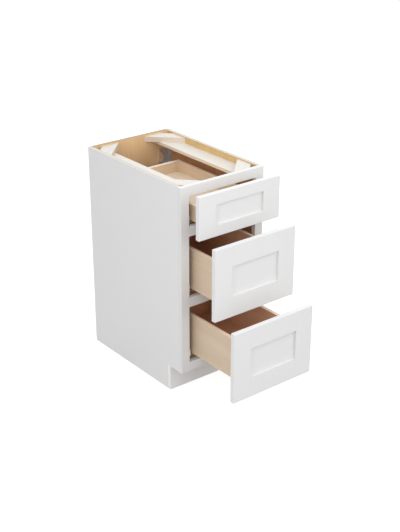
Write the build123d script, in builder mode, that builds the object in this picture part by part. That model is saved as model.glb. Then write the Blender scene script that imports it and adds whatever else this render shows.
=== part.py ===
from build123d import *
import os
from math import radians, tan

# A three-drawer base cabinet with a face frame, shaker drawer fronts and dovetailed drawer
# boxes on full-extension slides under the boxes. The drawers stand part open, as shown.
#
# x runs to the right with 0 in the middle of the cabinet, y runs back to 0 at the wall,
# and z runs up from 0 at the floor. The drawers open towards -y. All sizes are millimetres.

os.makedirs("parts", exist_ok=True)

# ---------------------------------------------------------------------------
# Driving sizes
# ---------------------------------------------------------------------------

# Carcase
cabinet_width = 400.0
cabinet_height = 876.3
cabinet_depth = 609.6
side_thickness = 15.9
bottom_thickness = 12.7
bottom_drop = 3.2
back_thickness = 5.5
housing_depth = 6.0
hanging_rail_thickness = 15.0
hanging_rail_height = 76.2
toe_height = 107.95
toe_recess = 76.2
toe_board_thickness = 12.7

# Face frame
frame_thickness = 19.05
stile_width = 38.1
top_rail_height = 38.1
middle_rail_height = 38.1
bottom_rail_height = 38.1
top_opening_height = 121.6
middle_opening_height = 254.0
tenon_length = 15.0
tenon_thickness = 6.35
tenon_shoulder = 6.0
frame_edge_radius = 0.8

# Rails along the tops of the sides, and the corner braces that lie on them
side_rail_width = 73.0
side_rail_thickness = 12.7
brace_leg = 118.0
brace_clip = 38.0
brace_thickness = 22.2
brace_drop = 5.2
worktop_hole_inset = 52.0
worktop_hole_radius = 2.5

# Drawer fronts: a frame of stiles and rails round a thin panel
front_thickness = 19.05
front_side_reveal = 6.5
front_top_reveal = 8.2
front_bottom_reveal = 8.5
front_gap = 4.3
top_front_height = 168.5
front_stile_width = 81.5
deep_front_rail_height = 82.5
top_front_rail_height = 44.0
front_edge_radius = 1.5
panel_thickness = 6.35
panel_recess = 9.5
panel_groove_depth = 9.5
panel_play = 1.0

# Drawer boxes
box_rear_space = 76.2
box_side_space = 25.4
box_board = 15.9
box_bottom_thickness = 6.35
box_bottom_recess = 12.7
box_groove_depth = 6.35
box_bottom_play = 0.5
box_edge_radius = 1.5
top_box_lift = 14.0
top_box_headroom = 44.1
deep_box_lift = 25.0
middle_box_headroom = 63.9
bottom_box_headroom = 50.3
dovetail_pitch = 24.0
dovetail_pin = 6.0
dovetail_lap = 5.0
dovetail_slope = 8.0

# How far the back of each front stands out from the face frame, and the gap when shut
top_drawer_open = 80.9
middle_drawer_open = 174.5
bottom_drawer_open = 285.8
closed_gap = 2.0

# Slides: a channel on the cabinet, a channel on the drawer, and a beam running in both
track_width = 26.0
track_height = 10.2
track_metal = 1.2
track_lip = 5.0
track_side_gap = 0.6
running_gap = 0.4
channel_gap = 0.8
beam_web = 4.0
beam_setback = 2.0
beam_shortfall = 53.4
wing_gap = 6.0
wing_height = 26.5
tab_overlap = 16.0
tab_hole_inset = 8.0
fixing_hole_radius = 2.2
bracket_metal = 1.5
bracket_height = 80.0
bracket_wall_depth = 30.0
bracket_overlap = 8.0
bracket_slope = 18.0
bracket_hole_rise = 20.0
bracket_hole_drop = 14.0

# Locks that hold the box on its slides, with a squeeze lever in each
lock_width = 32.0
lock_length = 55.0
lever_hub_radius = 5.5
lever_pin_radius = 2.0
lever_pin_clearance = 0.1
lever_hub_inset = 20.0
lever_setback = 18.0
lever_thickness = 4.0
lever_gap = 0.3
lever_reach = 60.0
lever_tip_radius = 4.0
lever_grip_length = 16.0

# ---------------------------------------------------------------------------
# Planes and faces that the sizes give
# ---------------------------------------------------------------------------

half_width = cabinet_width / 2
side_inner = half_width - side_thickness
opening_edge = half_width - stile_width

frame_front = -cabinet_depth
frame_back = frame_front + frame_thickness
toe_front = frame_front + toe_recess
toe_back = toe_front + toe_board_thickness
back_rear = -hanging_rail_thickness
back_front = back_rear - back_thickness

# The frame's rails from the floor up, each as its lower and upper edge
bottom_rail = (toe_height, toe_height + bottom_rail_height)
top_rail = (cabinet_height - top_rail_height, cabinet_height)
upper_rail_top = top_rail[0] - top_opening_height
upper_rail = (upper_rail_top - middle_rail_height, upper_rail_top)
lower_rail_top = upper_rail[0] - middle_opening_height
lower_rail = (lower_rail_top - middle_rail_height, lower_rail_top)

bottom_top = bottom_rail[1] - bottom_drop
bottom_low = bottom_top - bottom_thickness
brace_top = cabinet_height - brace_drop
brace_seat = brace_top - brace_thickness

# The fronts from the floor up: the two deep ones share what the top one leaves
front_half = half_width - front_side_reveal
front_inner = front_half - front_stile_width
fronts_low = toe_height + front_bottom_reveal
fronts_high = cabinet_height - front_top_reveal
deep_front_height = (fronts_high - fronts_low - top_front_height - 2 * front_gap) / 2
bottom_front = (fronts_low, fronts_low + deep_front_height)
middle_front_low = bottom_front[1] + front_gap
middle_front = (middle_front_low, middle_front_low + deep_front_height)
top_front = (fronts_high - top_front_height, fronts_high)

box_length = cabinet_depth - box_rear_space
box_outer = opening_edge - box_side_space
box_inner = box_outer - box_board
tail_length = box_board - dovetail_lap

track_outer = box_inner - track_side_gap
track_centre = track_outer - track_width / 2
track_inner = track_outer - track_width
wing_inner = box_outer + wing_gap
cabinet_track_end = frame_back + box_length

# ---------------------------------------------------------------------------
# Small helpers
# ---------------------------------------------------------------------------


def block(x, y, z, mode=Mode.ADD):
    """A rectangular block between two corners, given as pairs of coordinates."""
    with Locations((x[0], y[0], z[0])):
        Box(
            x[1] - x[0],
            y[1] - y[0],
            z[1] - z[0],
            align=(Align.MIN, Align.MIN, Align.MIN),
            mode=mode,
        )


def bar(across, up, mode=Mode.ADD):
    """A rectangle between two corners of an upright section, given as pairs of coordinates."""
    with Locations(((across[0] + across[1]) / 2, (up[0] + up[1]) / 2)):
        Rectangle(across[1] - across[0], up[1] - up[0], mode=mode)


def both(distance):
    """The span that reaches the same distance to both sides of the middle."""
    return (-distance, distance)


def section_at(y):
    """An upright plane across the cabinet; what is extruded from it grows forwards."""
    return Plane.XZ.offset(-y)


def keep(piece, name):
    """Label a finished piece and write it to its own file."""
    piece.part.label = name
    export_step(piece.part, f"parts/{name}.step")


def keep_pair(right, stem):
    """Write a right-hand piece, and its mirror image as the left-hand one."""
    keep(right, f"{stem}_right")
    with BuildPart() as left:
        mirror(right.part, about=Plane.YZ)
    keep(left, f"{stem}_left")


# ---------------------------------------------------------------------------
# Carcase
# ---------------------------------------------------------------------------

with BuildPart() as side_panel:
    block((side_inner, half_width), (frame_back, 0), (0, cabinet_height))
    # the toe notch, then the housings for the back and the bottom
    block((side_inner, half_width), (frame_back, toe_back), (0, toe_height), Mode.SUBTRACT)
    housing = (side_inner, side_inner + housing_depth)
    block(housing, (back_front, back_rear), (0, cabinet_height), Mode.SUBTRACT)
    block(housing, (frame_back, back_front), (bottom_low, bottom_top), Mode.SUBTRACT)
keep_pair(side_panel, "side_panel")

with BuildPart() as back_panel:
    block(both(side_inner + housing_depth), (back_front, back_rear), (0, cabinet_height))
keep(back_panel, "back_panel")

with BuildPart() as bottom_panel:
    block(both(side_inner + housing_depth), (frame_back, back_front), (bottom_low, bottom_top))
keep(bottom_panel, "bottom_panel")

with BuildPart() as hanging_rails:
    block(both(side_inner), (back_rear, 0), (0, hanging_rail_height))
    block(both(side_inner), (back_rear, 0), (cabinet_height - hanging_rail_height, cabinet_height))
keep(hanging_rails, "hanging_rails")

with BuildPart() as toe_kick_board:
    block(both(half_width), (toe_front, toe_back), (0, toe_height))
keep(toe_kick_board, "toe_kick_board")

# ---------------------------------------------------------------------------
# Face frame: rails tenoned into two stiles
# ---------------------------------------------------------------------------

tenon_depth_span = (
    frame_front + (frame_thickness - tenon_thickness) / 2,
    frame_front + (frame_thickness + tenon_thickness) / 2,
)


def tenon_span(rail):
    """The height that a rail's tenon takes up, inside its shoulders."""
    return (rail[0] + tenon_shoulder, rail[1] - tenon_shoulder)


with BuildPart() as face_stile:
    block((opening_edge, half_width), (frame_front, frame_back), (toe_height, cabinet_height))
    outer_edges = face_stile.edges().filter_by(Axis.Z).group_by(Axis.X)[-1]
    fillet(outer_edges.sort_by(Axis.Y)[0], frame_edge_radius)
    for rail in (bottom_rail, lower_rail, upper_rail, top_rail):
        mortise = (opening_edge, opening_edge + tenon_length)
        block(mortise, tenon_depth_span, tenon_span(rail), Mode.SUBTRACT)
keep_pair(face_stile, "face_stile")


def make_frame_rail(rail, name):
    """One rail of the face frame, with a tenon at each end."""
    with BuildPart() as frame_rail:
        block(both(opening_edge), (frame_front, frame_back), rail)
        block(both(opening_edge + tenon_length), tenon_depth_span, tenon_span(rail))
    keep(frame_rail, name)


make_frame_rail(top_rail, "face_rail_top")
make_frame_rail(upper_rail, "face_rail_upper")
make_frame_rail(lower_rail, "face_rail_lower")
make_frame_rail(bottom_rail, "face_rail_bottom")

# ---------------------------------------------------------------------------
# Top of the carcase: a flat rail along each side, and braces across the corners
# ---------------------------------------------------------------------------

# The screws that hold a worktop come up through the side rails and the braces
front_hole_y = frame_back + worktop_hole_inset
back_hole_y = back_front - worktop_hole_inset
hole_x = side_inner - worktop_hole_inset

with BuildPart() as top_side_rail:
    seat = (brace_seat - side_rail_thickness, brace_seat)
    block((side_inner - side_rail_width, side_inner), (frame_back, back_front), seat)
    with Locations((hole_x, front_hole_y, brace_seat), (hole_x, back_hole_y, brace_seat)):
        Hole(worktop_hole_radius)
keep_pair(top_side_rail, "top_side_rail")


def make_corner_braces(corner_y, inwards, hole_y, name):
    """The pair of braces along one end: 45 degree blocks with the corner cut off."""
    with BuildPart() as braces:
        with BuildSketch(Plane.XY.offset(brace_seat)):
            Polygon(
                (side_inner - brace_clip, corner_y),
                (side_inner - brace_leg, corner_y),
                (side_inner, corner_y + inwards * brace_leg),
                (side_inner, corner_y + inwards * brace_clip),
                align=None,
            )
        extrude(amount=brace_thickness)
        with Locations((hole_x, hole_y, brace_top)):
            Hole(worktop_hole_radius)
        mirror(about=Plane.YZ)
    keep(braces, name)


make_corner_braces(frame_back, 1, front_hole_y, "corner_braces_front")
make_corner_braces(back_front, -1, back_hole_y, "corner_braces_back")

# ---------------------------------------------------------------------------
# Drawer fronts
# ---------------------------------------------------------------------------


def make_front(name, height, rail_height, joint_y):
    """Stiles, rails and panel of one front, whose back face lies at joint_y."""
    low, high = height
    front_y = joint_y - front_thickness
    depth = (front_y, joint_y)
    panel_depth = (front_y + panel_recess, front_y + panel_recess + panel_thickness)
    groove_reach = front_inner + panel_groove_depth
    tongue_reach = groove_reach - panel_play

    with BuildPart() as stiles:
        block((front_inner, front_half), depth, height)
        # the rim of the front face is rounded over, but not where the rails meet the stile
        face_edges = stiles.faces().sort_by(Axis.Y)[0].edges()
        fillet(face_edges.sort_by(Axis.X)[1:], front_edge_radius)
        block((front_inner, groove_reach), panel_depth, height, Mode.SUBTRACT)
        mirror(about=Plane.YZ)
    keep(stiles, f"{name}_front_stiles")

    with BuildPart() as rails:
        rail_heights = ((low, low + rail_height), (high - rail_height, high))
        for rail in rail_heights:
            block(both(front_inner), depth, rail)
        face_edges = rails.edges().filter_by(Axis.X).group_by(Axis.Y)[0].sort_by(Axis.Z)
        fillet((face_edges[0], face_edges[-1]), front_edge_radius)
        for rail in rail_heights:
            block(both(tongue_reach), panel_depth, rail)
        groove = (low + rail_height - panel_groove_depth, high - rail_height + panel_groove_depth)
        block(both(tongue_reach), panel_depth, groove, Mode.SUBTRACT)
    keep(rails, f"{name}_front_rails")

    with BuildPart() as panel:
        grow = panel_groove_depth - panel_play
        panel_height = (low + rail_height - grow, high - rail_height + grow)
        block(both(tongue_reach), panel_depth, panel_height)
    keep(panel, f"{name}_front_panel")


# ---------------------------------------------------------------------------
# Drawer boxes
# ---------------------------------------------------------------------------


def tails(end_y, direction, box_z):
    """The dovetails at one end of a side board, drawn on a plane along the side.

    Each tail is a trapezium that widens from its root, at the inner face of the end board,
    to its tip, where a lap of wood is left in front of it.
    """
    low, high = box_z
    height = high - low
    count = max(2, round(height / dovetail_pitch))
    pitch = height / count
    tip = (pitch - dovetail_pin) / 2
    root = tip - tail_length * tan(radians(dovetail_slope))
    tip_y = end_y + direction * dovetail_lap
    root_y = end_y + direction * box_board
    for number in range(count):
        middle = low + (number + 0.5) * pitch
        Polygon(
            (root_y, middle - root),
            (tip_y, middle - tip),
            (tip_y, middle + tip),
            (root_y, middle + root),
            align=None,
        )


def make_box(name, box_z, front_y):
    """The five boards of one drawer box, whose front face lies at front_y."""
    low = box_z[0]
    back_y = front_y + box_length
    inside = (front_y + box_board, back_y - box_board)
    bottom_z = (low + box_bottom_recess, low + box_bottom_recess + box_bottom_thickness)
    groove_x = box_inner + box_groove_depth
    groove_y = (inside[0] - box_groove_depth, inside[1] + box_groove_depth)

    with BuildPart() as side:
        with BuildSketch(Plane.YZ.offset(box_inner)):
            bar(inside, box_z)
            tails(front_y, 1, box_z)
            tails(back_y, -1, box_z)
        extrude(amount=box_board)
        fillet(side.edges().filter_by(Axis.Y).group_by(Axis.Z)[-1], box_edge_radius)
        block((box_inner, groove_x), groove_y, bottom_z, Mode.SUBTRACT)
    keep_pair(side, f"{name}_box_side")

    for end, direction, label in ((front_y, 1, "front"), (back_y, -1, "back")):
        with BuildPart() as board:
            inner_face = end + direction * box_board
            block(both(box_outer), sorted((end, inner_face)), box_z)
            for start in (box_inner, -box_outer):
                with BuildSketch(Plane.YZ.offset(start)):
                    tails(end, direction, box_z)
                extrude(amount=box_board, mode=Mode.SUBTRACT)
            block(both(groove_x), groove_y, bottom_z, Mode.SUBTRACT)
            if label == "back":
                # notches that let the slides run under the bottom
                notch = (track_inner - track_side_gap, box_inner)
                for notch_x in (notch, (-notch[1], -notch[0])):
                    block(notch_x, (inner_face, end), (low, bottom_z[0]), Mode.SUBTRACT)
        keep(board, f"{name}_box_{label}")

    with BuildPart() as bottom:
        fit_x = groove_x - box_bottom_play
        fit_y = (groove_y[0] + box_bottom_play, groove_y[1] - box_bottom_play)
        block(both(fit_x), fit_y, bottom_z)
    keep(bottom, f"{name}_box_bottom")


# ---------------------------------------------------------------------------
# Slides
# ---------------------------------------------------------------------------


def channel(low, opens_up):
    """The section of a track: a square channel with two lips beside its slot."""
    high = low + track_height
    bar((track_inner, track_outer), (low, high))
    inside_x = (track_inner + track_metal, track_outer - track_metal)
    bar(inside_x, (low + track_metal, high - track_metal), Mode.SUBTRACT)
    slot_x = (inside_x[0] + track_lip, inside_x[1] - track_lip)
    slot_z = (high - track_metal, high) if opens_up else (low, low + track_metal)
    bar(slot_x, slot_z, Mode.SUBTRACT)


def flange(edge, inwards):
    """One flange of the running beam, a plate with two lips that point to the other flange."""
    depth = track_height - 2 * track_metal - 2 * running_gap
    reach = track_metal + running_gap
    x = (track_inner + reach, track_outer - reach)
    plate = sorted((edge, edge + inwards * track_metal))
    lip = sorted((edge, edge + inwards * depth))
    bar(x, plate)
    bar((x[0], x[0] + track_metal), lip)
    bar((x[1] - track_metal, x[1]), lip)


def make_slides(name, box_low, front_y):
    """The three members of a pair of slides, and the levels at which they lie."""
    drawn_out = (frame_front - closed_gap) - front_y
    drawer_track_high = box_low + box_bottom_recess
    drawer_track_low = drawer_track_high - track_height
    cabinet_track_high = drawer_track_low - channel_gap
    cabinet_track_low = cabinet_track_high - track_height

    with BuildPart() as drawer_members:
        inside = (front_y + box_board, front_y + box_length - box_board)
        with BuildSketch(section_at(inside[1])):
            channel(drawer_track_low, opens_up=False)
        extrude(amount=inside[1] - inside[0])
        mirror(about=Plane.YZ)
    keep(drawer_members, f"{name}_slide_drawer_members")

    with BuildPart() as middle_members:
        length = box_length - beam_shortfall
        start = frame_back + beam_setback - drawn_out / 2
        beam_low = cabinet_track_low + track_metal + running_gap
        beam_high = drawer_track_high - track_metal - running_gap
        with BuildSketch(section_at(start + length)):
            bar((track_centre - beam_web / 2, track_centre + beam_web / 2), (beam_low, beam_high))
            flange(beam_low, 1)
            flange(beam_high, -1)
        extrude(amount=length)
        mirror(about=Plane.YZ)
    keep(middle_members, f"{name}_slide_middle_members")

    with BuildPart() as cabinet_members:
        wing_high = cabinet_track_low + wing_height
        with BuildSketch(section_at(cabinet_track_end)):
            channel(cabinet_track_low, opens_up=True)
            foot = (cabinet_track_low, cabinet_track_low + track_metal)
            bar((track_outer - track_metal, wing_inner + track_metal), foot)
            bar((wing_inner, wing_inner + track_metal), (cabinet_track_low, wing_high))
        extrude(amount=box_length)
        # the tab at the front, with the hole for the screw that goes into the back of the stile
        tab = (wing_inner, opening_edge + tab_overlap)
        block(tab, (frame_back, frame_back + track_metal), (cabinet_track_low, wing_high))
        with BuildSketch(section_at(frame_back + track_metal)):
            with Locations((tab[1] - tab_hole_inset, (cabinet_track_low + wing_high) / 2)):
                Circle(fixing_hole_radius)
        extrude(amount=track_metal, mode=Mode.SUBTRACT)
        mirror(about=Plane.YZ)
    keep(cabinet_members, f"{name}_slide_cabinet_members")
    return cabinet_track_low


def make_rear_brackets(track_levels):
    """The brackets that carry the tails of the slides: a back plate, two walls and a shelf."""
    shelf_front = cabinet_track_end - bracket_overlap
    plate_front = back_front - bracket_metal
    wall_front = back_front - bracket_wall_depth
    with BuildPart() as brackets:
        for track_low in track_levels:
            low = track_low - bracket_metal
            high = track_low + bracket_height
            block((box_outer, side_inner), (plate_front, back_front), (low, high))
            block((track_inner, side_inner), (shelf_front, back_front), (low, track_low))
            outer_wall = (side_inner - bracket_metal, track_low)
            inner_wall = (box_outer, track_low + wing_height + bracket_metal)
            for wall_x, wall_low in (outer_wall, inner_wall):
                with BuildSketch(Plane.YZ.offset(wall_x)):
                    Polygon(
                        (back_front, wall_low),
                        (wall_front, wall_low),
                        (wall_front, high - bracket_slope),
                        (plate_front, high),
                        (back_front, high),
                        align=None,
                    )
                extrude(amount=bracket_metal)
            with BuildSketch(section_at(back_front)):
                for hole_z in (track_low + bracket_hole_rise, high - bracket_hole_drop):
                    with Locations(((box_outer + side_inner) / 2, hole_z)):
                        Circle(fixing_hole_radius)
            extrude(amount=bracket_metal, mode=Mode.SUBTRACT)
        mirror(about=Plane.YZ)
    keep(brackets, "slide_rear_brackets")


# ---------------------------------------------------------------------------
# Locks under the front of each box
# ---------------------------------------------------------------------------


def make_locks(name, box_low, front_y):
    """The lock bodies of one drawer, and the levers that turn on a pin inside them."""
    high = box_low + box_bottom_recess
    low = high - track_height
    start = front_y + box_board
    lock_x = (track_inner - lock_width, track_inner)
    hub_x = track_inner - lever_hub_inset
    hub_y = start + lever_setback
    slot_low = (low + high - lever_thickness) / 2 - lever_gap
    slot_high = (low + high + lever_thickness) / 2 + lever_gap
    slot_start = hub_y - lever_hub_radius - 2 * lever_gap

    with BuildPart() as lock_bodies:
        block(lock_x, (start, start + lock_length), (low, high))
        block(lock_x, (slot_start, start + lock_length), (slot_low, slot_high), Mode.SUBTRACT)
        with BuildSketch(Plane.XY.offset(slot_low)):
            with Locations((hub_x, hub_y)):
                Circle(lever_pin_radius)
        extrude(amount=slot_high - slot_low)
        mirror(about=Plane.YZ)
    keep(lock_bodies, f"{name}_lock_bodies")

    with BuildPart() as lever:
        tip_y = hub_y + lever_reach
        with BuildSketch(Plane.XY.offset(slot_low + lever_gap)):
            with Locations((hub_x, hub_y)):
                Circle(lever_hub_radius)
            with Locations((hub_x, tip_y)):
                Circle(lever_tip_radius)
            make_hull()
            with Locations((hub_x, hub_y)):
                Circle(lever_pin_radius + lever_pin_clearance, mode=Mode.SUBTRACT)
        extrude(amount=lever_thickness)
        # the finger grip at the tip, as deep as the lock body
        grip_x = (hub_x - lever_tip_radius, hub_x + lever_tip_radius)
        grip_y = (tip_y - lever_grip_length / 2, tip_y + lever_grip_length / 2)
        block(grip_x, grip_y, (low, high - lever_gap))
    keep_pair(lever, f"{name}_release_lever")


# ---------------------------------------------------------------------------
# The three drawers
# ---------------------------------------------------------------------------

# name, the opening's lower and upper edge, lift of the box in it, headroom over the box,
# the front's lower and upper edge, height of the front's rails, how far it stands open
drawers = (
    (
        "top",
        (upper_rail[1], top_rail[0]),
        top_box_lift,
        top_box_headroom,
        top_front,
        top_front_rail_height,
        top_drawer_open,
    ),
    (
        "middle",
        (lower_rail[1], upper_rail[0]),
        deep_box_lift,
        middle_box_headroom,
        middle_front,
        deep_front_rail_height,
        middle_drawer_open,
    ),
    (
        "bottom",
        (bottom_rail[1], lower_rail[0]),
        deep_box_lift,
        bottom_box_headroom,
        bottom_front,
        deep_front_rail_height,
        bottom_drawer_open,
    ),
)

track_levels = []
for name, opening, lift, headroom, front, rail_height, drawer_open in drawers:
    joint_y = frame_front - drawer_open
    box_low = opening[0] + lift
    make_front(name, front, rail_height, joint_y)
    make_box(name, (box_low, opening[1] - headroom), joint_y)
    track_levels.append(make_slides(name, box_low, joint_y))
    make_locks(name, box_low, joint_y)

make_rear_brackets(track_levels)
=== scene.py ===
from math import pi, radians

import bpy
import numpy as np
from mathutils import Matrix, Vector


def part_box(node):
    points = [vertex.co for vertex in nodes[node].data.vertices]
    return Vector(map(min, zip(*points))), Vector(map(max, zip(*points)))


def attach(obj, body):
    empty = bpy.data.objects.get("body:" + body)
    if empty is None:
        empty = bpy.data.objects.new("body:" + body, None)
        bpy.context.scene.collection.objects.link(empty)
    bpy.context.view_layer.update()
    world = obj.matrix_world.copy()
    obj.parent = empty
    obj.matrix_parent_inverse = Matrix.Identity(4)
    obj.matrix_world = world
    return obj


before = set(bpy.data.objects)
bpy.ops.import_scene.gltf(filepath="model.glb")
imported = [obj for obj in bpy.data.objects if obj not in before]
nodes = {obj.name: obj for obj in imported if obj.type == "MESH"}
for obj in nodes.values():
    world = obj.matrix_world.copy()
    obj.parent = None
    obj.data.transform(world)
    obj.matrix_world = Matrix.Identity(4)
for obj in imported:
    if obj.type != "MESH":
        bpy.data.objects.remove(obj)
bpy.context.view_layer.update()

# The looks of a three-drawer base cabinet: white lacquer outside, birch and maple inside,
# zinc slides below. Everything is in metres, x to the right, y back to 0 at the wall, z up.

drawers = ("top", "middle", "bottom")

mm = 0.001

# Sizes that the frame's boxes don't give: how deep the thin panels sit in their grooves, how
# far the frame rails' tenons reach, and the gauges of the slides' and the brackets' steel
panel_tongue = 8.5 * mm
frame_tenon = 15.0 * mm
slide_metal = 1.2 * mm
bracket_metal = 1.5 * mm

# ---------------------------------------------------------------------------
# Colours and shader nodes
# ---------------------------------------------------------------------------


def linear(colour):
    """The linear RGBA of an sRGB hex colour such as "e8e4da"."""
    srgb = np.array([int(colour[i : i + 2], 16) for i in (0, 2, 4)]) / 255
    curve = np.where(srgb <= 0.04045, srgb / 12.92, ((srgb + 0.055) / 1.055) ** 2.4)
    return (*curve.tolist(), 1.0)


def add(tree, kind, inputs=None, stops=(), stepped=False, **settings):
    """Adds a shader node with its settings, its inputs and, on a ramp, its colour stops.

    An input goes by its name or its number, and takes a value, a socket, or another node,
    which stands for its first output in use. A stop is a place from 0 to 1 and a hex colour.
    """
    made = tree.nodes.new("ShaderNode" + kind)
    for name, value in settings.items():
        setattr(made, name, value)
    sockets = {socket.name: socket for socket in made.inputs if socket.enabled}
    for name, value in (inputs or {}).items():
        socket = made.inputs[name] if isinstance(name, int) else sockets[name]
        if isinstance(value, bpy.types.Node):
            value = next(output for output in value.outputs if output.enabled)
        if isinstance(value, bpy.types.NodeSocket):
            tree.links.new(value, socket)
        else:
            socket.default_value = value
    if stops:
        ramp = made.color_ramp
        ramp.interpolation = "CONSTANT" if stepped else "LINEAR"
        ramp.elements.remove(ramp.elements[1])
        for number, (position, colour) in enumerate(stops):
            stop = ramp.elements.new(position) if number else ramp.elements[0]
            stop.position = position
            stop.color = linear(colour)
    return made


def new_material(name):
    """An empty material: the material, its node tree, and the point on the piece in metres."""
    made = bpy.data.materials.new(name)
    made.use_nodes = True
    made.node_tree.nodes.clear()
    here = add(made.node_tree, "TexCoord")
    return made, made.node_tree, here.outputs["Object"]


def show(tree, inputs):
    """Joins a shader with these inputs to the material's output."""
    shader = add(tree, "BsdfPrincipled", inputs)
    add(tree, "OutputMaterial", {"Surface": shader})


# ---------------------------------------------------------------------------
# White lacquer
# ---------------------------------------------------------------------------


def lacquer_coat(tree, here, colour):
    """Sprayed catalysed lacquer, as a shader's inputs: satin white with a faint orange peel.

    The peel's ripples are about 1.5 mm apart and 0.02 mm deep, drawn 4 mm apart, because finer
    ones don't show. Broad drifts of tone and gloss keep the large faces from looking flat.
    """
    drift = add(tree, "TexNoise", {"Vector": here, "Scale": 1 / (160 * mm), "Detail": 2.0})
    peel = add(tree, "TexNoise", {"Vector": here, "Scale": 1 / (4 * mm), "Detail": 1.0})
    shift = add(tree, "MapRange", {"Value": drift, "To Min": 0.0, "To Max": 0.12})
    tone = {"Factor": shift, "A": linear(colour), "B": linear("ffffff")}
    return {
        "Base Color": add(tree, "Mix", tone, data_type="RGBA"),
        "Roughness": add(tree, "MapRange", {"Value": drift, "To Min": 0.3, "To Max": 0.46}),
        "IOR": 1.5,
        "Normal": add(tree, "Bump", {"Height": peel, "Distance": 0.02 * mm}),
    }


def sprayed_lacquer(name, colour, joint=None):
    """White lacquer on solid maple, for the fronts, the face frame and the toe kick.

    Where rails meet stiles, at `joint` to both sides of the middle, the coat sinks into a
    hairline of about 0.2 mm, drawn 0.5 mm wide so that it shows from near by.
    """
    line_width, line_colour = 0.5 * mm, "dcdbd9"
    made, tree, here = new_material(name)
    coat = lacquer_coat(tree, here, colour)
    if joint:
        across = add(tree, "SeparateXYZ", {"Vector": here}).outputs["X"]
        outwards = add(tree, "Math", {0: across}, operation="ABSOLUTE")
        line = {0: outwards, 1: joint, 2: line_width / 2}
        hairline = add(tree, "Math", line, operation="COMPARE")
        shade = {"Factor": hairline, "A": coat["Base Color"], "B": linear(line_colour)}
        coat["Base Color"] = add(tree, "Mix", shade, data_type="RGBA")
    show(tree, coat)
    return made


# ---------------------------------------------------------------------------
# Wood
# ---------------------------------------------------------------------------


def streaks(tree, here, run, across, along, detail, turn=0.0):
    """Noise drawn out along the grain: spots `along` long in the run and `across` wide."""
    lengths = [across, across, across]
    lengths["xyz".index(run)] = along
    placed = {"Vector": here, "Rotation": (0, 0, turn), "Scale": lengths}
    stretched = add(tree, "Mapping", placed, vector_type="TEXTURE")
    return add(tree, "TexNoise", {"Vector": stretched, "Scale": 1.0, "Detail": detail})


def wood_grain(tree, here, run, tones, turn=0.0):
    """Plain-sawn hardwood, as its colour and its fibre: long arches of growth rings.

    The rings are the level lines of a slow drift of tone, so they close into arches about
    15 mm apart. Fibres are 0.3 mm wide, drawn 2.5 mm wide because finer ones don't show.
    """
    pale, mid, dark = tones
    rings_per_drift = 12
    drift = streaks(tree, here, run, 80 * mm, 700 * mm, 1.0, turn)
    fibre = streaks(tree, here, run, 2.5 * mm, 110 * mm, 3.0, turn)
    turns = {0: drift, 1: rings_per_drift * 2 * pi}
    phase = add(tree, "Math", turns, operation="MULTIPLY")
    rings = add(tree, "Math", {0: phase}, operation="SINE")
    ringed = add(tree, "MapRange", {"Value": rings, "From Min": -0.2, "To Max": 0.5})
    broad = add(tree, "ValToRGB", {"Fac": drift}, stops=((0.35, pale), (0.65, mid)))
    tone = {"Factor": ringed, "A": broad, "B": linear(mid)}
    arches = add(tree, "Mix", tone, data_type="RGBA")
    lines = {"Value": fibre, "From Min": 0.5, "From Max": 0.85, "To Max": 0.45}
    tone = {"Factor": add(tree, "MapRange", lines), "A": arches, "B": linear(dark)}
    return add(tree, "Mix", tone, data_type="RGBA"), fibre


def facing(tree, run):
    """1 on the faces that look along one of the piece's own axes, within 45 degrees, else 0."""
    normal = add(tree, "TexCoord").outputs["Normal"]
    part = add(tree, "SeparateXYZ", {"Vector": normal}).outputs["xyz".index(run)]
    size = add(tree, "Math", {0: part}, operation="ABSOLUTE")
    return add(tree, "Math", {0: size, 1: 0.7}, operation="GREATER_THAN")


def show_clear_coat(tree, colour, fibre, roughness, relief):
    """Wood under a clear coat: the fibre breaks its satin gloss and stands up by the relief."""
    low, high = roughness - 0.1, roughness + 0.1
    show(
        tree,
        {
            "Base Color": colour,
            "Roughness": add(tree, "MapRange", {"Value": fibre, "To Min": low, "To Max": high}),
            "IOR": 1.5,
            "Normal": add(tree, "Bump", {"Height": fibre, "Distance": relief}),
        },
    )


def askew_wood(name, tones, turn):
    """Poplar under a thin clear coat, its grain turned to run along the long edge of a brace.

    Both braces of a pair share it, because it is drawn on |x| and |y|. The sawn edges are darker.
    """
    sawn_edge = "d9ccba"
    made, tree, here = new_material(name)
    mirrored = add(tree, "VectorMath", {"Vector": here}, operation="ABSOLUTE")
    grain, fibre = wood_grain(tree, mirrored, "x", tones, turn)
    tone = {"Factor": facing(tree, "z"), "A": linear(sawn_edge), "B": grain}
    colour = add(tree, "Mix", tone, data_type="RGBA")
    show_clear_coat(tree, colour, fibre, 0.48, 0.04 * mm)
    return made


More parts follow.
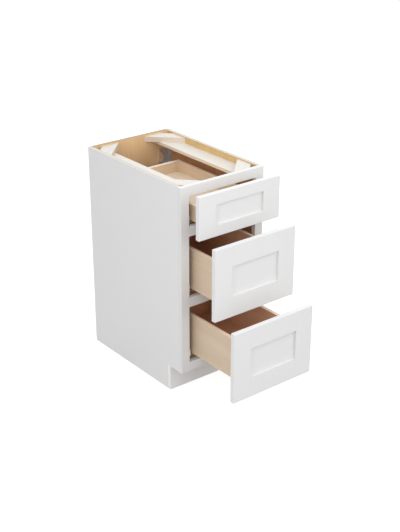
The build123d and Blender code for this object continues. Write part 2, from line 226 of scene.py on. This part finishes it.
def box_board(name, node, run, across, middle, tones, inside_shade_tint, lit_rim):
    """Maple under a clear coat: satin, with fibre that just breaks the gloss.

    The coat soaks into the end grain, which is darker. The face inside the box, the one
    nearer to the box's middle, is multiplied by the tint: painted shade, darker and redder
    inside the box. The faces that look up or down, the rims, take a paler colour: painted
    light on the rims.
    """
    coat_depth, end_grain = 0.2 * mm, "c9a077"
    made, tree, here = new_material(name)
    grain, fibre = wood_grain(tree, here, run, tones)
    faces = [corner["xyz".index(across)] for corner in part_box(node)]
    inner = min(faces, key=lambda face: abs(face - middle))
    depth = add(tree, "SeparateXYZ", {"Vector": here}).outputs["xyz".index(across)]
    inside = add(tree, "Math", {0: depth, 1: inner, 2: coat_depth}, operation="COMPARE")
    # painted shade: the face inside the box is multiplied by a darker, redder tint
    painted_shade = {"Factor": inside, "A": grain, "B": linear(inside_shade_tint)}
    painted_shade = add(tree, "Mix", painted_shade, data_type="RGBA", blend_type="MULTIPLY")
    # painted light: the faces that look up or down take the paler rim colour
    tone = {"Factor": facing(tree, "z"), "A": painted_shade, "B": linear(lit_rim)}
    lit_rimmed = add(tree, "Mix", tone, data_type="RGBA")
    tone = {"Factor": facing(tree, run), "A": lit_rimmed, "B": linear(end_grain)}
    colour = add(tree, "Mix", tone, data_type="RGBA")
    show_clear_coat(tree, colour, fibre, 0.44, 0.05 * mm)
    return made


def ply_colour(tree, here, node, across, plies, veneer, edge):
    """The colour of plywood: its face veneer, and on the edges its plies by turns.

    The plies run along and across by turns, so every other one shows its darker end grain.
    """
    low, high = (corner["xyz".index(across)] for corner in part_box(node))
    depth = add(tree, "SeparateXYZ", {"Vector": here}).outputs["xyz".index(across)]
    span = {"Value": depth, "From Min": low, "From Max": high}
    turns = [(number / plies, edge[number % 2]) for number in range(plies)]
    layers = add(tree, "ValToRGB", {"Fac": add(tree, "MapRange", span)}, turns, stepped=True)
    tone = {"Factor": facing(tree, across), "A": layers.outputs["Color"], "B": veneer}
    return add(tree, "Mix", tone, data_type="RGBA")


def plywood(name, node, across, plies, run, tones, edge):
    """Plywood with a clear face: smooth rotary-cut veneer, and striped edges."""
    made, tree, here = new_material(name)
    veneer, fibre = wood_grain(tree, here, run, tones)
    colour = ply_colour(tree, here, node, across, plies, veneer, edge)
    show_clear_coat(tree, colour, fibre, 0.48, 0.03 * mm)
    return made


def side_panel_finish(name, node, colour, tones, edge):
    """A side panel: lacquer on its outer face, clear birch veneer inside, plies on its edges.

    Inside, below the rail along its top, the veneer is painted darker and redder: painted
    shade. The lacquer ends a little way round the outer edges.
    """
    lacquer_reach, under_rail_shade_tint = 0.3 * mm, "fadce9"
    made, tree, here = new_material(name)
    veneer, fibre = wood_grain(tree, here, "z", tones)
    place = add(tree, "SeparateXYZ", {"Vector": here}).outputs
    # painted shade: below the top rail the inner veneer is multiplied by a darker, redder tint
    below = {0: place["Z"], 1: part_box("top_side_rail_left")[0][2]}
    under_rail_shade = {
        "Factor": add(tree, "Math", below, operation="LESS_THAN"),
        "A": veneer,
        "B": linear(under_rail_shade_tint),
    }
    veneer = add(tree, "Mix", under_rail_shade, data_type="RGBA", blend_type="MULTIPLY")
    wood = ply_colour(tree, here, node, "x", 9, veneer, edge)
    outer = max(abs(corner[0]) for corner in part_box(node))
    outwards = add(tree, "Math", {0: place["X"]}, operation="ABSOLUTE")
    painted = {0: outwards, 1: outer - lacquer_reach}
    coat = lacquer_coat(tree, here, colour)
    tone = {
        "Factor": add(tree, "Math", painted, operation="GREATER_THAN"),
        "A": wood,
        "B": coat["Base Color"],
    }
    coat["Base Color"] = add(tree, "Mix", tone, data_type="RGBA")
    show(tree, coat)
    return made


# ---------------------------------------------------------------------------
# Metal, plastic and rubber
# ---------------------------------------------------------------------------


def zinc_plate(name, colour, roughness):
    """Cold-rolled steel under passivated zinc: a soft grey metal, cloudy, with rolling lines.

    The clouds are about 15 mm across. Rolling lines are a tenth of a millimetre apart, and are
    drawn 1.5 mm apart so that they show.
    """
    made, tree, here = new_material(name)
    cloud = add(tree, "TexNoise", {"Vector": here, "Scale": 1 / (15 * mm), "Detail": 3.0})
    rolled = streaks(tree, here, "y", 1.5 * mm, 200 * mm, 1.0)
    tone = ((0.3, colour), (0.7, "e2e3e0"))
    low, high = roughness - 0.1, roughness + 0.1
    show(
        tree,
        {
            "Base Color": add(tree, "ValToRGB", {"Fac": cloud}, tone),
            "Metallic": 1.0,
            "Roughness": add(tree, "MapRange", {"Value": rolled, "To Min": low, "To Max": high}),
            "Normal": add(tree, "Bump", {"Height": rolled, "Distance": 0.02 * mm}),
        },
    )
    return made


def moulded_plastic(name, colour, roughness, depth=0.02 * mm):
    """Moulded nylon or rubber with a spark-eroded grain, drawn 1.5 mm wide so that it shows."""
    made, tree, here = new_material(name)
    grit = add(tree, "TexNoise", {"Vector": here, "Scale": 1 / (1.5 * mm), "Detail": 2.0})
    low, high = roughness - 0.1, roughness + 0.1
    show(
        tree,
        {
            "Base Color": linear(colour),
            "Roughness": add(tree, "MapRange", {"Value": grit, "To Min": low, "To Max": high}),
            "IOR": 1.46,
            "Normal": add(tree, "Bump", {"Height": grit, "Distance": depth}),
        },
    )
    return made


# ---------------------------------------------------------------------------
# The finish of every CAD node
# ---------------------------------------------------------------------------


def dress(material, *names):
    """Gives the objects of these nodes one material."""
    for name in names:
        for slot in nodes[name].material_slots:
            slot.material = material


white = "e8e8e8"
frame_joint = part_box("face_rail_top")[1][0] - frame_tenon
front_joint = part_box("top_front_panel")[1][0] - panel_tongue

frame_lacquer = sprayed_lacquer("sprayed_lacquer_frame", "e5e5e5", frame_joint)
# painted light: the toe kick's lacquer is lighter than the same lacquer on the fronts, standing in
# for light thrown up from the floor
lit_toe_lacquer = sprayed_lacquer("sprayed_lacquer_toe", "fafafa")
front_lacquer = sprayed_lacquer("sprayed_lacquer_fronts", white, front_joint)

# Each wood's pale, middle and dark tones, and the two tones that ply edges show by turns
birch = ("e9c598", "e1bb8c", "cba06d")
inner_birch = ("dcbb83", "d2af73", "b89259")
cream = ("e6e3de", "dfdad2", "cbbdaa")
pale_cream = ("ebe9e5", "e4e0d9", "d2c6b5")
maple = ("e1cdb4", "dac4aa", "c2a07f")
# lit and shaded copies of the box-bottom maple: the paler one is painted light, the amber one
# painted shade
lit_pale_maple = ("efe1cd", "e9d8c2", "d3b999")
shaded_amber_maple = ("e9b893", "e2ab86", "c98f68")
pale_edge = ("dad7d1", "c7bbad")
cream_edge = ("f4e6d4", "e0cdb6")
golden_edge = ("bd9f79", "a88457")
maple_edge = ("dcc6ae", "b99470")

# Painted light: the paler colours on the faces that look up or down, the rims, of the boxes' front
# and back boards, and of their sides
lit_end_rim, lit_side_rim = "f4e8da", "f9dfc6"

dress(lit_toe_lacquer, "toe_kick_board")
dress(frame_lacquer, "face_stile_left", "face_stile_right")
dress(frame_lacquer, *(f"face_rail_{place}" for place in ("top", "upper", "lower", "bottom")))

for side in ("left", "right"):
    panel = f"side_panel_{side}"
    finish = f"lacquered_birch_ply_{side}"
    dress(side_panel_finish(finish, panel, white, inner_birch, pale_edge), panel)
    rail = f"top_side_rail_{side}"
    dress(plywood(f"poplar_ply_{side}", rail, "z", 9, "y", pale_cream, cream_edge), rail)

dress(plywood("birch_ply_back", "back_panel", "y", 3, "z", birch, golden_edge), "back_panel")
dress(plywood("birch_ply_bottom", "bottom_panel", "z", 9, "y", birch, golden_edge), "bottom_panel")
dress(plywood("birch_ply_rails", "hanging_rails", "y", 9, "x", birch, golden_edge), "hanging_rails")
dress(askew_wood("clear_poplar_front", cream, radians(-45)), "corner_braces_front")
dress(askew_wood("clear_poplar_back", cream, radians(45)), "corner_braces_back")

zinc = zinc_plate("zinc_plated_slides", "d2cdc7", 0.48)
bracket_zinc = zinc_plate("zinc_plated_brackets", "d8cccb", 0.55)
screw_zinc = zinc_plate("zinc_plated_screws", "c9cac8", 0.3)
lock_nylon = moulded_plastic("moulded_grey_nylon", "8b8d8f", 0.5)
lever_nylon = moulded_plastic("moulded_orange_nylon", "d97a34", 0.45)
bumper_rubber = moulded_plastic("clear_grey_rubber", "b9bab8", 0.4, 0.01 * mm)

dress(bracket_zinc, "slide_rear_brackets")
for drawer in drawers:
    dress(front_lacquer, *(f"{drawer}_front_{part}" for part in ("stiles", "rails", "panel")))
    shallow = drawer == "top"
    # painted shade: the inner faces of the deep boxes are tinted darker and redder, for the shade
    # inside them
    inside_shade_tint = "fffbf5" if shallow else "ffe2d3"
    # painted light and shade: the shallow box's bottom is a paler maple, and the deep boxes'
    # bottoms are a darker, redder maple
    tones = lit_pale_maple if shallow else shaded_amber_maple
    bottom = f"{drawer}_box_bottom"
    dress(plywood(f"maple_ply_{drawer}", bottom, "z", 5, "x", tones, maple_edge), bottom)
    middle = (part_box(bottom)[0][1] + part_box(bottom)[1][1]) / 2
    for part in ("box_front", "box_back"):
        node = f"{drawer}_{part}"
        board = box_board(f"clear_maple_{node}", node, "x", "y", middle, maple, inside_shade_tint, lit_end_rim)
        dress(board, node)
    for part in ("box_side_left", "box_side_right"):
        node = f"{drawer}_{part}"
        board = box_board(f"clear_maple_{node}", node, "y", "x", 0.0, maple, inside_shade_tint, lit_side_rim)
        dress(board, node)
    dress(zinc, *(f"{drawer}_slide_{part}_members" for part in ("drawer", "middle", "cabinet")))
    dress(lock_nylon, f"{drawer}_lock_bodies")
    dress(lever_nylon, f"{drawer}_release_lever_left", f"{drawer}_release_lever_right")

# ---------------------------------------------------------------------------
# Screws and bumpers
# ---------------------------------------------------------------------------

head_radius = 4.0 * mm
head_height = 2.4 * mm
recess_reach = 2.2 * mm
recess_half_width = 0.55 * mm
recess_depth = 1.3 * mm
bumper_radius = 4.0 * mm
bumper_height = 1.8 * mm

# How far in from the outer ends and edges of what they hold the screws and bumpers stand,
# and how high above the underside of each slide the screws of its rear bracket are
tab_screw_inset = 8.0 * mm
bracket_screw_inset = 23.8 * mm
bracket_screw_rises = (20.0 * mm, 66.0 * mm)
front_screw_inset = 45.0 * mm
lock_screw_inset = 6.0 * mm
lock_screw_setback = 8.0 * mm
bumper_inset = 12.0 * mm

# How far from the box's floor and from its rim the screws into the drawer front are, as a
# share of the height between the two
front_screw_share = 0.28


def round_form(radii, heights, around):
    """A closed round form about the z axis, as points and faces.

    Each pair of a radius and a height is carried round the axis: the point at angle a is
    (r cos a, r sin a, h). The first and last pairs are on the axis, one point each. The pairs
    run from the top, over the rim, to the bottom.
    """
    angles = np.linspace(0, 2 * pi, around, endpoint=False)
    middle = np.asarray(radii)[1:-1, None]
    level = np.asarray(heights)[1:-1, None]
    x, y = middle * np.cos(angles), middle * np.sin(angles)
    rings = np.stack(np.broadcast_arrays(x, y, level), axis=-1)
    points = np.concatenate(([(0, 0, heights[0])], rings.reshape(-1, 3), [(0, 0, heights[-1])]))
    place = 1 + np.arange(rings.shape[0] * around).reshape(-1, around)
    onward = np.roll(place, -1, axis=1)
    sides = np.stack((place[:-1], place[1:], onward[1:], onward[:-1]), axis=-1).reshape(-1, 4)
    cap = np.stack((np.zeros(around, int), place[0], onward[0]), axis=-1)
    foot = np.stack((np.full(around, len(points) - 1), onward[-1], place[-1]), axis=-1)
    return points, (sides, cap, foot)


def screw_head():
    """A pan head with a cross recess, standing on z = 0.

    The top falls by 0.3 of its height with the fourth power of the radius. The recess is two
    arms that cross. It has its full depth up to half of an arm's half width and five eighths of
    its reach, and slopes up to nothing at one and a half and one and a quarter of them.
    """
    spread = np.linspace(0, 1, 12)
    dome = head_height * (1 - 0.3 * spread**4)
    radii = np.concatenate((head_radius * spread, (head_radius, 0)))
    heights = np.concatenate((dome, (0, 0)))
    points, faces = round_form(radii, heights, 32)
    nearest_arm = np.minimum(np.abs(points[:, 0]), np.abs(points[:, 1]))
    reach = np.linalg.norm(points[:, :2], axis=1)
    width = np.clip(1.5 - nearest_arm / recess_half_width, 0, 1)
    length = np.clip(2 - 1.6 * reach / recess_reach, 0, 1)
    on_top = points[:, 2] > head_height / 2
    points[:, 2] -= recess_depth * width * length * on_top
    return points, faces


def bumper():
    """A stick-on bumper: half of an ellipsoid on a short foot, standing on z = 0."""
    swing = np.linspace(0, pi / 2, 7)
    radii = np.concatenate((bumper_radius * np.sin(swing), (bumper_radius, 0)))
    dome = bumper_height * (0.3 + 0.7 * np.cos(swing))
    return round_form(radii, np.concatenate((dome, (0, 0))), 24)


def stand(name, form, places, towards, body, material):
    """One piece made of copies of a form at these places, each with its z axis turned `towards`.

    A copy's points are p + x·u + y·v + z·w, with p its place, w the direction and u, v square
    to it.
    """
    points, faces = form
    w = np.array(towards, float)
    u = np.roll(w, 1)
    turned = points @ np.stack((u, np.cross(w, u), w))
    copies = (np.array(places)[:, None, :] + turned).reshape(-1, 3)
    shift = len(points) * np.arange(len(places))[:, None, None]
    polygons = []
    for group in faces:
        polygons += (group + shift).reshape(-1, group.shape[1]).tolist()
    mesh = bpy.data.meshes.new(name)
    mesh.from_pydata(copies.tolist(), [], polygons)
    mesh.polygons.foreach_set("use_smooth", np.ones(len(polygons), bool))
    mesh.set_sharp_from_angle(angle=radians(40))
    mesh.materials.append(material)
    piece = bpy.data.objects.new(name, mesh)
    bpy.context.scene.collection.objects.link(piece)
    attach(piece, body)


def spots(reach, depths, levels):
    """Places at both sides of the middle, at every depth and level."""
    return [(side * reach, y, z) for side in (-1, 1) for y in depths for z in levels]


forwards, backwards, downwards = (0, -1, 0), (0, 1, 0), (0, 0, -1)
tab_places, bracket_places = [], []

for drawer in drawers:
    body = f"{drawer}_drawer"
    low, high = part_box(f"{drawer}_slide_cabinet_members")
    tab_back = low[1] + slide_metal
    tab_places += spots(high[0] - tab_screw_inset, [tab_back], [(low[2] + high[2]) / 2])

    plate_edge, plate_back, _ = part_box("slide_rear_brackets")[1]
    reach = plate_edge - bracket_screw_inset
    levels = [low[2] + rise for rise in bracket_screw_rises]
    bracket_places += spots(reach, [plate_back - bracket_metal], levels)

    # four screws from inside the box into the drawer front
    low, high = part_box(f"{drawer}_box_front")
    floor_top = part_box(f"{drawer}_box_bottom")[1][2]
    rise = front_screw_share * (high[2] - floor_top)
    places = spots(high[0] - front_screw_inset, [high[1]], (floor_top + rise, high[2] - rise))
    stand(f"{drawer}_front_screws", screw_head(), places, backwards, body, screw_zinc)

    low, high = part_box(f"{drawer}_lock_bodies")
    depths = (low[1] + lock_screw_setback, high[1] - lock_screw_setback)
    places = spots(high[0] - lock_screw_inset, depths, [low[2]])
    stand(f"{drawer}_lock_screws", screw_head(), places, downwards, body, screw_zinc)

    low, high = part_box(f"{drawer}_front_stiles")
    levels = (low[2] + bumper_inset, high[2] - bumper_inset)
    places = spots(high[0] - bumper_inset, [high[1]], levels)
    bumpers = f"{drawer}_front_bumpers"
    stand(bumpers, bumper(), places, backwards, body, bumper_rubber)

stand("slide_tab_screws", screw_head(), tab_places, backwards, "cabinet", screw_zinc)
stand("bracket_screws", screw_head(), bracket_places, forwards, "cabinet", screw_zinc)

# ---------------------------------------------------------------------------
# Floor, light and camera
# ---------------------------------------------------------------------------


def backdrop_rays(tree):
    """1 for the rays that see the backdrop itself: the camera's, and those in gloss and glass."""
    rays = add(tree, "LightPath").outputs
    shiny = {0: rays["Is Glossy Ray"], 1: rays["Is Transmission Ray"]}
    either = {0: rays["Is Camera Ray"], 1: add(tree, "Math", shiny, operation="MAXIMUM")}
    return add(tree, "Math", either, operation="MAXIMUM")


def make_floor():
    """A plain level floor that shows white with a faint shadow, and throws back a dimmer light."""
    reach = 60.0
    backdrop_glow = 0.8
    mesh = bpy.data.meshes.new("floor")
    corners = [(-reach, -reach, 0), (reach, -reach, 0), (reach, reach, 0), (-reach, reach, 0)]
    mesh.from_pydata(corners, [], [(0, 1, 2, 3)])
    floor = bpy.data.objects.new("floor", mesh)
    bpy.context.scene.collection.objects.link(floor)
    made, tree, here = new_material("matte_white_floor")
    glow = {0: backdrop_rays(tree), 1: backdrop_glow}
    show(
        tree,
        {
            "Base Color": linear("b4b4b4"),
            "Roughness": 1.0,
            "Specular IOR Level": 0.0,
            "Emission Color": linear("ffffff"),
            "Emission Strength": add(tree, "Math", glow, operation="MULTIPLY"),
        },
    )
    mesh.materials.append(made)


def make_light():
    """Broad softboxes in front, at the left corner, overhead and behind, and an even white sky.

    Each softbox has its power in watts, its width and its place, and faces the middle of the
    cabinet with its drawers open.
    """
    softboxes = {
        "front_softbox": (19.0, 2.6, (0.4, -2.6, 2.1)),
        "corner_softbox": (33.5, 2.2, (-2.4, -2.2, 2.0)),
        "overhead_softbox": (9.0, 2.2, (0.3, -0.4, 3.2)),
        "rear_softbox": (10.0, 2.2, (2.2, 2.4, 1.8)),
    }
    aim = np.array((0.0, -0.35, 0.5))
    for name, (power, width, place) in softboxes.items():
        light = bpy.data.lights.new(name, "AREA")
        light.energy = power
        light.size = width
        lamp = bpy.data.objects.new(name, light)
        x, y, z = np.array(place) - aim
        lamp.location = place
        lamp.rotation_euler = (np.arctan2(np.hypot(x, y), z), 0, np.arctan2(x, -y))
        lamp.visible_camera = False
        bpy.context.scene.collection.objects.link(lamp)
    world = bpy.data.worlds.new("even_white_sky")
    world.use_nodes = True
    tree = world.node_tree
    tree.nodes.clear()
    sky = add(tree, "Background", {"Color": linear("ffffff"), "Strength": 0.74})
    backdrop = add(tree, "Background", {"Color": linear("ffffff"), "Strength": 1.0})
    mixed = add(tree, "MixShader", {0: backdrop_rays(tree), 1: sky, 2: backdrop})
    add(tree, "OutputWorld", {"Surface": mixed})
    bpy.context.scene.world = world


def make_camera():
    """The photograph's view, from the left and above, solved from the cabinet's edges in it."""
    lens = bpy.data.cameras.new("camera")
    lens.sensor_width = 36.0
    lens.lens = 73.04
    camera = bpy.data.objects.new("camera", lens)
    camera.location = (-2.4105, -3.5157, 2.2404)
    camera.rotation_euler = (radians(90 - 24.586), 0, radians(-38.361))
    bpy.context.scene.collection.objects.link(camera)
    bpy.context.scene.camera = camera


make_floor()
make_light()
make_camera()
bpy.context.scene.view_settings.view_transform = "Standard"
